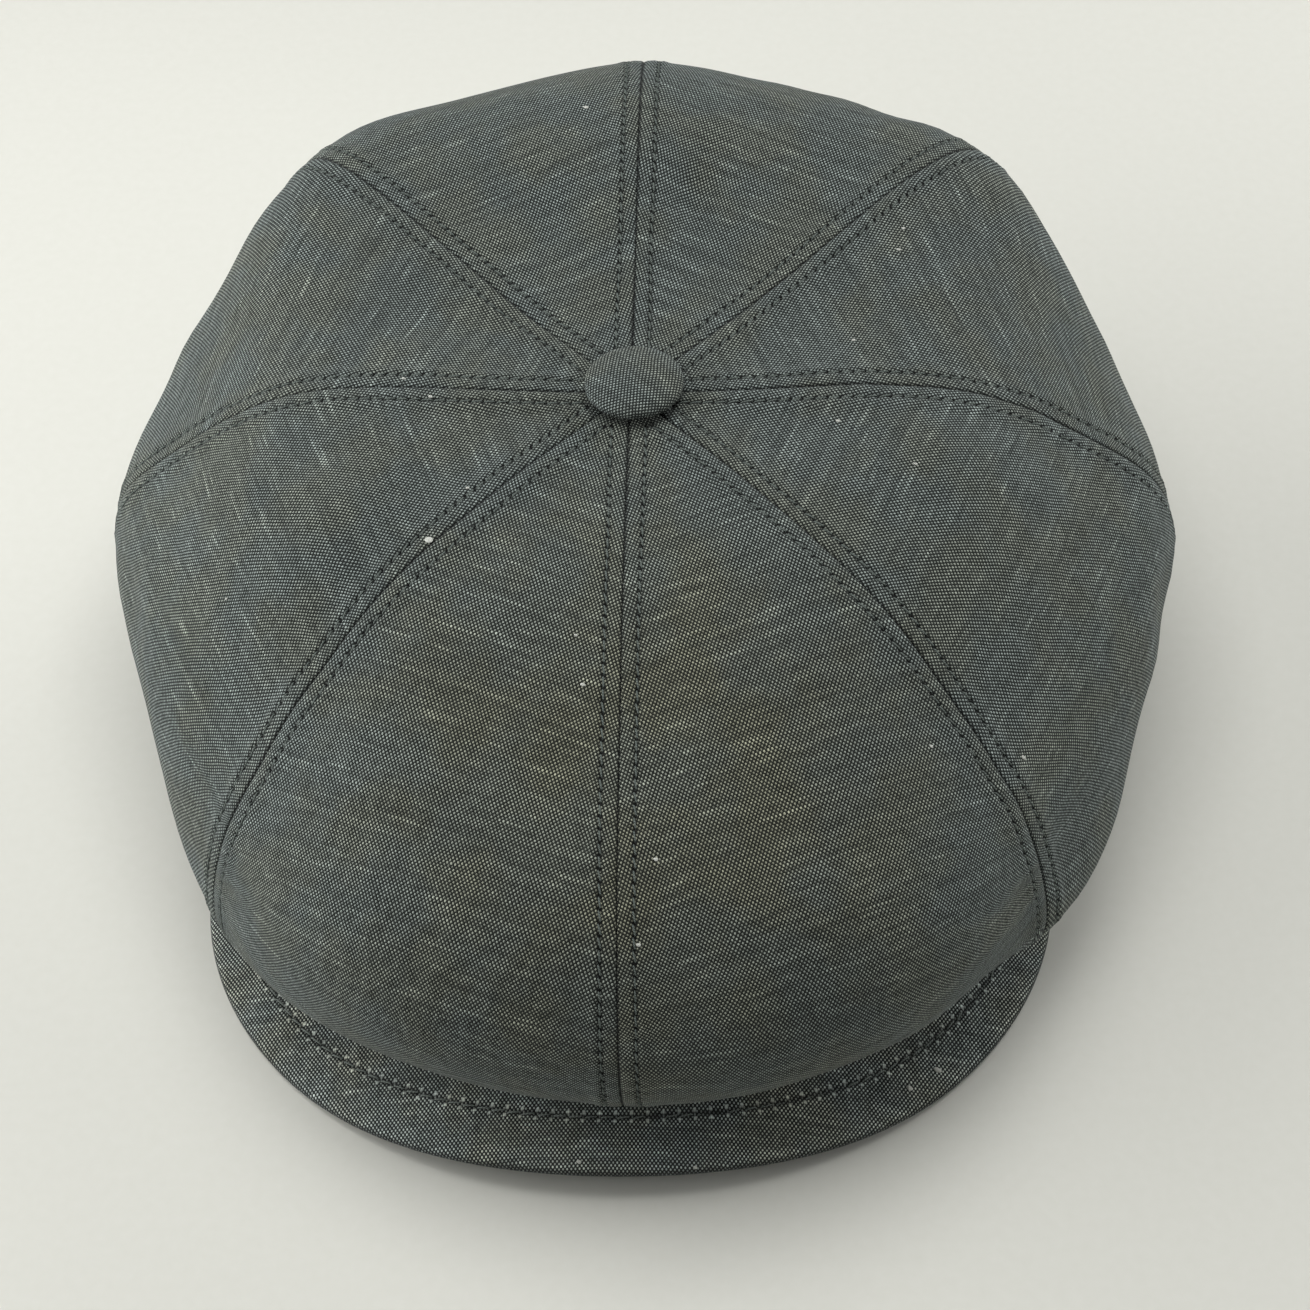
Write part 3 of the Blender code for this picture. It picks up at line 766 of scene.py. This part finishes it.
def seats_for(neps, sheets):
    """The place and the outward direction of the cloth that shows at each nep's pixel."""
    points = np.concatenate([sheet.outer.reshape(-1, 3) for sheet in sheets])
    slopes = [(np.gradient(sheet.outer, axis=1), np.gradient(sheet.outer, axis=0)) for sheet in sheets]
    normals = np.concatenate([np.cross(down, round_way).reshape(-1, 3) for down, round_way in slopes])
    normals /= np.linalg.norm(normals, axis=-1, keepdims=True) + 1e-12
    right, up, back = (np.array(axis) for axis in camera_axes())
    to_eye = np.array(CAMERA_TARGET) + CAMERA_DISTANCE * back - (points + AXIS)
    depth = to_eye @ back
    x = PHOTO_PIXELS / 2 - CAMERA_PIXELS * (to_eye @ right) / depth
    y = PHOTO_PIXELS / 2 + CAMERA_PIXELS * (to_eye @ up) / depth
    seen = (normals * to_eye).sum(-1) > 0
    seats = []
    for nep in neps:
        off = np.hypot(x - nep.x, y - nep.y)
        close = np.flatnonzero(seen & (off < 1.5 + off[seen].min()))
        at = close[np.argmin(depth[close])]
        seats.append((points[at], normals[at], nep))
    return seats


def nep_piece(sheets):
    """The neps in one piece: lumpy, flattened tufts, half sunk in the cloth."""
    seats = seats_for(NEPS, sheets)
    rings, sides = 9, 14
    fall = np.linspace(0.12, math.pi - 0.12, rings)
    turn = np.arange(sides) * math.tau / sides
    number = np.arange(rings * sides).reshape(rings, sides)
    one = ring_quads(number) + [number[0].tolist(), number[-1, ::-1].tolist()]
    flat = lattice(np.arange(rings), np.arange(sides + 1)) * [0.84 / (rings - 1), 0.96 / sides] + 0.02
    corners = np.stack([flat[:-1, :-1], flat[1:, :-1], flat[1:, 1:], flat[:-1, 1:]], 2).reshape(-1, 2)
    cap = polar(turn, 0.03)
    corners = np.vstack([corners, cap + [0.93, 0.2], cap[::-1] + [0.93, 0.5]])
    points, faces = [], []
    for place, (seat, normal, nep) in enumerate(seats):
        lumps = 0.85 + 0.30 * ripple(np.cos(turn) * 2 + 5, fall[:, None] * 2, 50 + place)
        tall = np.cos(fall)[:, None] * np.ones(sides)
        ball = polar(turn, np.sin(fall)[:, None], tall) * [nep.long, nep.wide, NEP_TALL]
        ball *= lumps[..., None] * MM
        across = unit(np.cross(normal, [0.3, 1.0, 0.1]))
        axes = np.array([across, np.cross(normal, across), normal])
        faces += [[int(v) + place * rings * sides for v in face] for face in one]
        points.append(ball.reshape(-1, 3) @ axes + seat + NEP_LIFT * normal)
    points = np.vstack(points) + AXIS
    return cloth_mesh("neps", points, faces, {"grain": points[:, :2] / MM}, np.tile(corners, (len(seats), 1)))


def linear(code):
    """An sRGB hex colour as linear red, green, blue and opacity."""
    parts = [int(code[i : i + 2], 16) / 255 for i in (1, 3, 5)]
    return (*[c / 12.92 if c <= 0.04045 else ((c + 0.055) / 1.055) ** 2.4 for c in parts], 1.0)


def plug(tree, node, inputs):
    """Gives each of these inputs of a node its value, or the output of another node."""
    for place, value in inputs.items():
        if isinstance(value, bpy.types.NodeSocket):
            tree.links.new(value, node.inputs[place])
        else:
            node.inputs[place].default_value = value


def add(tree, kind, inputs=None, **settings):
    """Adds a node with its settings and its inputs, and gives its outputs."""
    made = tree.nodes.new("ShaderNode" + kind)
    for name, value in settings.items():
        setattr(made, name, value)
    plug(tree, made, inputs or {})
    return made.outputs


def new_material(name):
    """An empty material, its tree and its surface shader."""
    material = bpy.data.materials.new(name)
    material.use_nodes = True
    return material, material.node_tree, material.node_tree.nodes["Principled BSDF"]


# The cloth is a plain-weave linen of about 20 warps and 16 wefts to the centimetre.
WARP_STEP = 0.49
WEFT_STEP = 0.64
YARN_SWAY = 1.1  # how many steps the yarns could wander

# The cloth looks olive on the crown's front and bluer elsewhere, which may be fading or the light. These are
# the two tints, as shares of red, green and blue, and the middle of the olive part, in metres.
BLUE_TINT = (0.925, 1.0, 1.075, 1.0)
OLIVE_TINT = (1.05, 1.0, 0.84, 1.0)
OLIVE_PLACE = (0.005, -0.085, 0.085)

# How a row of stitches shades the cloth, in millimetres and shares of its tone: where the row runs and its
# pitch, the shade along it and how wide that is, and the shade of a mark at each hole, half its length across
# the row, how many times longer it is than wide, how far to each side of the row it lies, and how far its
# weft is drawn out over the warp.
Sewn = namedtuple(
    "Sewn", "row pitch row_shade row_width mark_shade mark_long mark_slim mark_aside mark_drawn"
)
# On the crown each needle hole is painted nearly black, painted shade in the hole.
CROWN_SEWN = Sewn(STITCH_ROW / MM, STITCH_PITCH / MM, 0.72, 1.0, 0.08, 0.85, 1.0, 0.0, 0.0)
# On the stiff peak the cloth is pinched up into a pair of light ticks at each hole. Its weft is drawn
# over the warp there, and the ticks are made brighter than the weft, a painted highlight.
PEAK_SEWN = Sewn(PEAK_ROW / MM, PEAK_PITCH / MM, 0.40, 1.1, 1.25, 0.85, 1.5, TICK_ASIDE / MM, 1.0)
UNSEWN = CROWN_SEWN._replace(row=HIDDEN / 2)
FULL_SHARE = 0.3  # of a mark's or a row's half width, over which its shade is full

SMOOTH = {"interpolation_type": "SMOOTHSTEP"}


def linen(name, dark, light, sewing):
    """Plain-weave linen, yarn dyed: a dark warp crossed by a pale grey weft, washed and not calendered.

    That gives the eye rows of light dots on a dark ground, thick and thin yarns, and a soft, dry surface
    without gloss.
    """
    material, tree, shader = new_material(name)
    grain = add(tree, "UVMap", uv_map="grain")[0]
    place = add(tree, "SeparateXYZ", {0: grain})
    # Yarns wander by a fraction of their spacing, over some 12 mm.
    sway = add(tree, "TexNoise", {"Vector": grain, "Scale": 0.08, "Detail": 2.0}, noise_dimensions="2D")
    sway = add(tree, "SeparateColor", {0: sway["Color"]})
    numbers, waves = [], []
    for way, step in enumerate((WARP_STEP, WEFT_STEP)):
        at = add(tree, "Math", {0: place[way], 1: 1 / step}, operation="MULTIPLY")[0]
        at = add(tree, "Math", {0: sway[way], 1: YARN_SWAY, 2: at}, operation="MULTIPLY_ADD")[0]
        numbers.append(add(tree, "Math", {0: at}, operation="FLOOR")[0])
        turn = add(tree, "Math", {0: at, 1: math.pi}, operation="MULTIPLY")[0]
        waves.append(add(tree, "Math", {0: turn}, operation="SINE")[0])
    warp_number, weft_number = numbers
    # Over and under: above nought the weft lies on top, below it the warp does.
    weave = add(tree, "Math", {0: waves[0], 1: waves[1]}, operation="MULTIPLY")[0]
    # Each weft yarn is thicker and thinner along its length. Its slubs, thick places 3 to 15 mm long, are
    # light dashes to the eye.
    weft_spot = add(tree, "CombineXYZ", {0: place[0], 1: weft_number})[0]
    weft_spot = add(tree, "VectorMath", {0: weft_spot, 1: (0.07, 7.31, 0.0)}, operation="MULTIPLY")[0]
    uneven = {"Vector": weft_spot, "Scale": 1.0, "Detail": 2.0}
    weft_noise = add(tree, "TexNoise", uneven, noise_dimensions="2D")[0]
    weft_thick = add(tree, "Math", {0: weft_noise, 1: 0.5}, operation="SUBTRACT")[0]
    weft_slub = add(tree, "MapRange", {0: weft_noise, 1: 0.65, 2: 0.78}, **SMOOTH)[0]
    warp_spot = add(tree, "CombineXYZ", {0: warp_number, 1: place[1]})[0]
    warp_spot = add(tree, "VectorMath", {0: warp_spot, 1: (5.77, 0.06, 0.0)}, operation="MULTIPLY")[0]
    uneven = {"Vector": warp_spot, "Scale": 1.0, "Detail": 1.0}
    warp_noise = add(tree, "TexNoise", uneven, noise_dimensions="2D")[0]
    # The needle's marks, at each hole or to both sides of it: painted shade at the crown's holes, and a
    # painted highlight on the peak's ticks.
    seams = add(tree, "UVMap", uv_map="seams")[0]
    sewn = add(tree, "SeparateXYZ", {0: seams})
    from_row = add(tree, "Math", {0: sewn[0], 1: sewing.row}, operation="SUBTRACT")[0]
    from_row = add(tree, "Math", {0: from_row}, operation="ABSOLUTE")[0]
    from_hole = add(tree, "Math", {0: sewn[1], 1: 0.5}, operation="PINGPONG")[0]
    along = {0: from_hole, 1: sewing.pitch * sewing.mark_slim}
    from_hole = add(tree, "Math", along, operation="MULTIPLY")[0]
    aside = add(tree, "Math", {0: from_row, 1: sewing.mark_aside}, operation="SUBTRACT")[0]
    mark_spot = add(tree, "CombineXYZ", {0: aside, 1: from_hole})[0]
    mark_off = add(tree, "VectorMath", {0: mark_spot}, operation="LENGTH")[1]
    near = {0: mark_off, 1: FULL_SHARE * sewing.mark_long, 2: sewing.mark_long}
    mark = add(tree, "MapRange", near | {3: sewing.mark_shade}, **SMOOTH)[0]
    drawn = add(tree, "MapRange", near | {3: sewing.mark_drawn, 4: 0.0}, **SMOOTH)[0]
    # The weft shows where it is on top. A thick place shows more of it, beside the warps too.
    lifted = add(tree, "Math", {0: weft_thick, 1: 0.3, 2: weave}, operation="MULTIPLY_ADD")[0]
    lifted = add(tree, "Math", {0: weft_slub, 1: 0.10, 2: lifted}, operation="MULTIPLY_ADD")[0]
    on_top = add(tree, "MapRange", {0: lifted, 1: 0.12, 2: 0.55}, **SMOOTH)[0]
    on_top = add(tree, "Math", {0: on_top, 1: drawn}, operation="MAXIMUM")[0]
    dye_spot = add(tree, "CombineXYZ", {0: warp_number, 1: weft_number})[0]
    weft_dye = add(tree, "TexWhiteNoise", {"W": weft_number}, noise_dimensions="1D")[0]
    fleck = add(tree, "TexWhiteNoise", {"Vector": dye_spot}, noise_dimensions="2D")[0]
    weft_tone = add(tree, "Math", {0: weft_dye, 1: 0.34, 2: 0.66}, operation="MULTIPLY_ADD")[0]
    for part, strength in ((weft_thick, 0.60), (fleck, 0.42), (weft_slub, 0.42)):
        weft_tone = add(tree, "Math", {0: part, 1: strength, 2: weft_tone}, operation="MULTIPLY_ADD")[0]
    warp_tone = add(tree, "Math", {0: warp_noise, 1: 0.9, 2: 0.55}, operation="MULTIPLY_ADD")[0]
    weft_colour = add(tree, "VectorMath", {0: linear(light)[:3], "Scale": weft_tone}, operation="SCALE")[0]
    warp_colour = add(tree, "VectorMath", {0: linear(dark)[:3], "Scale": warp_tone}, operation="SCALE")[0]
    cloth = add(tree, "Mix", {0: on_top, 6: warp_colour, 7: weft_colour}, data_type="RGBA")[2]
    # Gaps between the yarns are darker, painted shade between them.
    yarns = add(tree, "Math", {0: weave}, operation="ABSOLUTE")[0]
    gap = add(tree, "MapRange", {0: yarns, 2: 0.30, 3: 0.55})[0]
    # The dye has taken a little unevenly, over 10 to 40 mm.
    patch = add(tree, "TexNoise", {"Vector": grain, "Scale": 0.045, "Detail": 3.0}, noise_dimensions="2D")[0]
    patch = add(tree, "MapRange", {0: patch, 1: 0.38, 2: 0.62, 3: -0.25, 4: 0.25})[0]
    where = add(tree, "TexCoord")["Object"]
    from_front = add(tree, "VectorMath", {0: where, 1: OLIVE_PLACE}, operation="DISTANCE")[1]
    olive = add(tree, "MapRange", {0: from_front, 1: 0.02, 2: 0.09, 3: 0.8, 4: 0.2}, **SMOOTH)[0]
    olive = add(tree, "Math", {0: olive, 1: patch}, operation="ADD", use_clamp=True)[0]
    tint = add(tree, "Mix", {0: olive, 6: BLUE_TINT, 7: OLIVE_TINT}, data_type="RGBA")[2]
    cloth = add(tree, "Mix", {0: 1.0, 6: cloth, 7: tint}, data_type="RGBA", blend_type="MULTIPLY")[2]
    # Painted shade: the cloth is darkened in the seam's crack and along the peak's edge, along the row of
    # stitches, between the yarns and at the crown's needle holes. On the peak the marks are painted
    # highlights.
    near = {0: from_row, 1: FULL_SHARE * sewing.row_width, 2: sewing.row_width}
    trench = add(tree, "MapRange", near | {3: sewing.row_shade}, **SMOOTH)[0]
    # The crack's painted shade lies within 0.7 mm of a seam, and of the peak's edge.
    crack = add(tree, "MapRange", {0: sewn[0], 1: 0.05, 2: 0.70, 3: 0.34}, **SMOOTH)[0]
    shade = mark
    for part in (trench, crack, gap):
        shade = add(tree, "Math", {0: shade, 1: part}, operation="MULTIPLY")[0]
    cloth = add(tree, "VectorMath", {0: cloth, "Scale": shade}, operation="SCALE")[0]
    # Relief: yarns stand up by about 0.1 mm, and soft creases of wear run through the cloth.
    yarns = add(tree, "Math", {0: weft_slub, 1: 0.5, 2: yarns}, operation="MULTIPLY_ADD")[0]
    crease = add(tree, "TexNoise", {"Vector": grain, "Scale": 0.22, "Detail": 3.0}, noise_dimensions="2D")[0]
    bent = add(tree, "Bump", {"Strength": 0.7, "Distance": 1.4 * MM, "Height": crease})[0]
    bent = add(tree, "Bump", {"Strength": 0.8, "Distance": 0.10 * MM, "Height": yarns, "Normal": bent})[0]
    dryness = add(tree, "MapRange", {0: on_top, 3: 0.92, 4: 0.78})[0]
    look = {"Base Color": cloth, "Roughness": dryness, "Normal": bent, "Specular IOR Level": 0.25}
    # Loose fibre ends catch the light where the cloth turns away.
    look |= {"Sheen Weight": 0.12, "Sheen Roughness": 0.50, "Sheen Tint": linear("#c9d0d2")}
    plug(tree, shader, look)
    return material


def thread(name, colour):
    """Spun polyester sewing thread, two-ply, dyed to match: matt, its ply in slanted bands of painted shade
    and highlight.
    """
    material, tree, shader = new_material(name)
    place = add(tree, "SeparateXYZ", {0: add(tree, "UVMap", uv_map="grain")[0]})
    # The ply turns about once in each 0.6 mm, five times in a stitch.
    turn = add(tree, "Math", {0: place[0], 1: 5.0, 2: place[1]}, operation="MULTIPLY_ADD")[0]
    turn = add(tree, "Math", {0: turn, 1: math.tau}, operation="MULTIPLY")[0]
    ply = add(tree, "Math", {0: turn}, operation="SINE")[0]
    # The grooves between the plies are painted darker and the plies' crowns paler: painted shade and
    # highlight.
    tone = add(tree, "MapRange", {0: ply, 1: -1.0, 2: 1.0, 3: 0.65, 4: 1.15})[0]
    tinted = add(tree, "VectorMath", {0: linear(colour)[:3], "Scale": tone}, operation="SCALE")[0]
    bent = add(tree, "Bump", {"Strength": 0.6, "Distance": 0.06 * MM, "Height": ply})[0]
    dryness = add(tree, "MapRange", {0: ply, 1: -1.0, 2: 1.0, 3: 0.85, 4: 0.65})[0]
    look = {"Base Color": tinted, "Roughness": dryness, "Normal": bent, "Specular IOR Level": 0.3}
    plug(tree, shader, look)
    return material


def raw_flax(name):
    """Raw flax fibre that took little dye: pale, dull and hairy."""
    material, tree, shader = new_material(name)
    grain = add(tree, "UVMap", uv_map="grain")[0]
    # Fibres are some 0.02 mm thick; bundles of ten are drawn, so that they show.
    fibre = add(tree, "TexNoise", {"Vector": grain, "Scale": 5.0, "Detail": 3.0}, noise_dimensions="2D")[0]
    ramp = {0: fibre, 6: linear("#8f9490"), 7: linear("#dcdcd2")}
    colour = add(tree, "Mix", ramp, data_type="RGBA")[2]
    bent = add(tree, "Bump", {"Strength": 0.8, "Distance": 0.1 * MM, "Height": fibre})[0]
    dryness = add(tree, "MapRange", {0: fibre, 3: 0.95, 4: 0.8})[0]
    plug(tree, shader, {"Base Color": colour, "Roughness": dryness, "Normal": bent})
    return material


def white_table(name):
    """Table top painted matt white, a touch warm, with the faint orange peel that a roller leaves."""
    material, tree, shader = new_material(name)
    where = add(tree, "TexCoord")["Object"]
    # A roller's peel is some 3 mm across.
    peel = add(tree, "TexNoise", {"Vector": where, "Scale": 330.0, "Detail": 2.0})[0]
    colour = add(tree, "Mix", {0: peel, 6: linear("#d6d6cd"), 7: linear("#dbdbd3")}, data_type="RGBA")[2]
    bent = add(tree, "Bump", {"Strength": 0.05, "Distance": 0.2 * MM, "Height": peel})[0]
    plug(tree, shader, {"Base Color": colour, "Normal": bent, "Roughness": 0.9})
    return material


def settle(piece, material, slot, *nodes):
    """Gives a piece its material and its body, and hides the solids it stands for. The slot is not used."""
    piece.data.materials.append(material)
    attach(piece, "root")
    if nodes:
        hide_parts(*nodes)


WARP_DYE = "#212421"
WEFT_DYE = "#8a8f86"
# This crown's front reaches out further over the peak than the real one's seems to, and shades it more. The
# peak's yarns are drawn paler to make up for that, painted light in their colours.
PEAK_WARP_PAINTED_PALER = "#2a2d2a"
PEAK_WEFT_PAINTED_PALER = "#b6b9ae"
CROWN_LINEN = linen("crown_linen", WARP_DYE, WEFT_DYE, CROWN_SEWN)
PEAK_LINEN = linen("peak_linen", PEAK_WARP_PAINTED_PALER, PEAK_WEFT_PAINTED_PALER, PEAK_SEWN)
BUTTON_LINEN = linen("button_linen", WARP_DYE, WEFT_DYE, UNSEWN)
CROWN_THREAD = thread("matching_thread", "#5c645f")
# The peak's thread is drawn paler for the same reason, painted light.
PEAK_THREAD = thread("peak_thread", "#7b837d")


def dress_crown():
    """The eight gores and their topstitches. Gives the gores' sheets."""
    start = TIP_RADIUS / (CROWN_REACH + CROWN_HEIGHT)
    shares = np.linspace(start, 1.0, PANEL_ROWS + 1)
    crown = crown_grid(shares)
    sheets, rows = [], []
    for number, place in enumerate(PANEL_PLACES):
        sheet, stitched = cut_panel(number, crown)
        # Each gore is cut from another place in the cloth.
        sheet = sheet._replace(grain=sheet.grain + [number * 0.41, number * 0.23])
        settle(sheet_piece("gore_" + place, sheet), CROWN_LINEN, "panel_linen", "panel_" + place)
        sheets.append(sheet)
        rows += stitched
    settle(stitch_piece("crown_topstitches", rows, 5), CROWN_THREAD, "panel_linen")
    return sheets


def dress_peak():
    """The peak's two cloths and the row of stitches that goes through both. Gives the cloths' sheets."""
    sheets, rows = [], []
    for facing, name, slot in ((1, "peak_upper", "peak_top_linen"), (-1, "peak_lower", "peak_under_linen")):
        sheet, stitched = cut_peak(facing)
        node = "peak_top" if facing > 0 else "peak_under"
        settle(sheet_piece(name + "_cloth", sheet), PEAK_LINEN, slot, node)
        sheets.append(sheet)
        rows.append(stitched)
    settle(stitch_piece("peak_topstitches", rows, 6), PEAK_THREAD, "peak_top_linen")
    return sheets


def lay_table():
    """A plain table top, wide enough to fill the view from any side."""
    half = 4.0
    points = np.array([[-half, -half, 0], [half, -half, 0], [half, half, 0], [-half, half, 0]])
    corners = [(0, 0), (1, 0), (1, 1), (0, 1)]
    table = cloth_mesh("table_top", points, [[0, 1, 2, 3]], {}, corners)
    table.data.materials.append(white_table("painted_table"))


# The photograph's camera, from the fit of the crown's seams and outline. Its target is in the row's frame.
CAMERA_TARGET = Vector((0.0050, -0.0246, 0.0580))
CAMERA_DISTANCE = 0.712
CAMERA_ELEVATION = math.radians(52.0)
CAMERA_AZIMUTH = math.radians(4.2)
CAMERA_ROLL = math.radians(-3.4)
CAMERA_PIXELS = 2870.0  # focal length, in pixels of the photograph
PHOTO_PIXELS = 1310.0
SENSOR = 36.0


def camera_axes():
    """The photograph's right, its up, and the way back from the cap to the camera."""
    flat = math.cos(CAMERA_ELEVATION)
    back = Vector(
        (math.sin(CAMERA_AZIMUTH) * flat, -math.cos(CAMERA_AZIMUTH) * flat, math.sin(CAMERA_ELEVATION))
    )
    level = Vector((math.cos(CAMERA_AZIMUTH), math.sin(CAMERA_AZIMUTH), 0.0))
    upright = back.cross(level)
    right = level * math.cos(CAMERA_ROLL) + upright * math.sin(CAMERA_ROLL)
    up = upright * math.cos(CAMERA_ROLL) - level * math.sin(CAMERA_ROLL)
    return right, up, back


def place_camera():
    """The camera at the photograph's angle."""
    right, up, back = camera_axes()
    lens = bpy.data.cameras.new("camera")
    lens.sensor_width = SENSOR
    lens.lens = SENSOR * CAMERA_PIXELS / PHOTO_PIXELS
    lens.clip_start = 0.01
    camera = bpy.data.objects.new("camera", lens)
    turned = Matrix((right, up, back)).transposed().to_4x4()
    camera.matrix_world = Matrix.Translation(CAMERA_TARGET + CAMERA_DISTANCE * back) @ turned
    bpy.context.scene.collection.objects.link(camera)
    bpy.context.scene.camera = camera


# Soft boxes, chosen and fitted by their strengths to the photograph's soft light, which they give nearly. The
# left and right strips were then raised, by about an eighth. Each has the place where it stands, the way its
# length runs, its length and width, and its power. All face the cap's middle.
SoftBox = namedtuple("SoftBox", "name place way length width watts")
FRONT_TO_BACK = Vector((0.0, 1.0, 0.0))
LEFT_TO_RIGHT = Vector((1.0, 0.0, 0.0))
LIT_POINT = Vector((0.0, 0.0, 0.05))
SOFT_BOXES = (
    SoftBox("left_strip", (-1.2, 0.0, 0.15), FRONT_TO_BACK, 1.0, 0.3, 9.2),
    SoftBox("near_left_strip", (-0.45, 0.0, 0.45), FRONT_TO_BACK, 1.0, 0.3, 2.8),
    SoftBox("right_strip", (1.2, 0.0, 0.45), FRONT_TO_BACK, 1.0, 0.3, 6.5),
    SoftBox("back_right_box", (0.6, 0.7, 0.5), LEFT_TO_RIGHT, 0.6, 0.6, 4.2),
    SoftBox("overhead_box", (0.0, 0.0, 0.8), LEFT_TO_RIGHT, 0.5, 0.5, 3.5),
)
ROOM_LIGHT = 0.0


def light_scene():
    """Long soft boxes to both sides of the cap, one box behind it and one overhead."""
    for box in SOFT_BOXES:
        lamp = bpy.data.lights.new(box.name, "AREA")
        lamp.shape = "RECTANGLE"
        lamp.size, lamp.size_y = box.length, box.width
        lamp.energy = box.watts
        holder = bpy.data.objects.new(box.name, lamp)
        away = (Vector(box.place) - LIT_POINT).normalized()
        along = (box.way - away * box.way.dot(away)).normalized()
        turned = Matrix((along, away.cross(along), away)).transposed().to_4x4()
        holder.matrix_world = Matrix.Translation(box.place) @ turned
        bpy.context.scene.collection.objects.link(holder)
    room = bpy.data.worlds.new("room")
    room.use_nodes = True
    sky = {"Color": linear("#f4f4ee"), "Strength": ROOM_LIGHT}
    plug(room.node_tree, room.node_tree.nodes["Background"], sky)
    bpy.context.scene.world = room
    # A plain sRGB curve keeps the cloth and the white table as far apart as a photograph does.
    bpy.context.scene.view_settings.view_transform = "Standard"


place_camera()
gores = dress_crown()
settle(button_piece(), BUTTON_LINEN, "button_linen", "button")
peak_cloths = dress_peak()
settle(nep_piece(gores + peak_cloths), raw_flax("raw_flax"), "panel_linen")
lay_table()
light_scene()
bpy.context.view_layer.update()
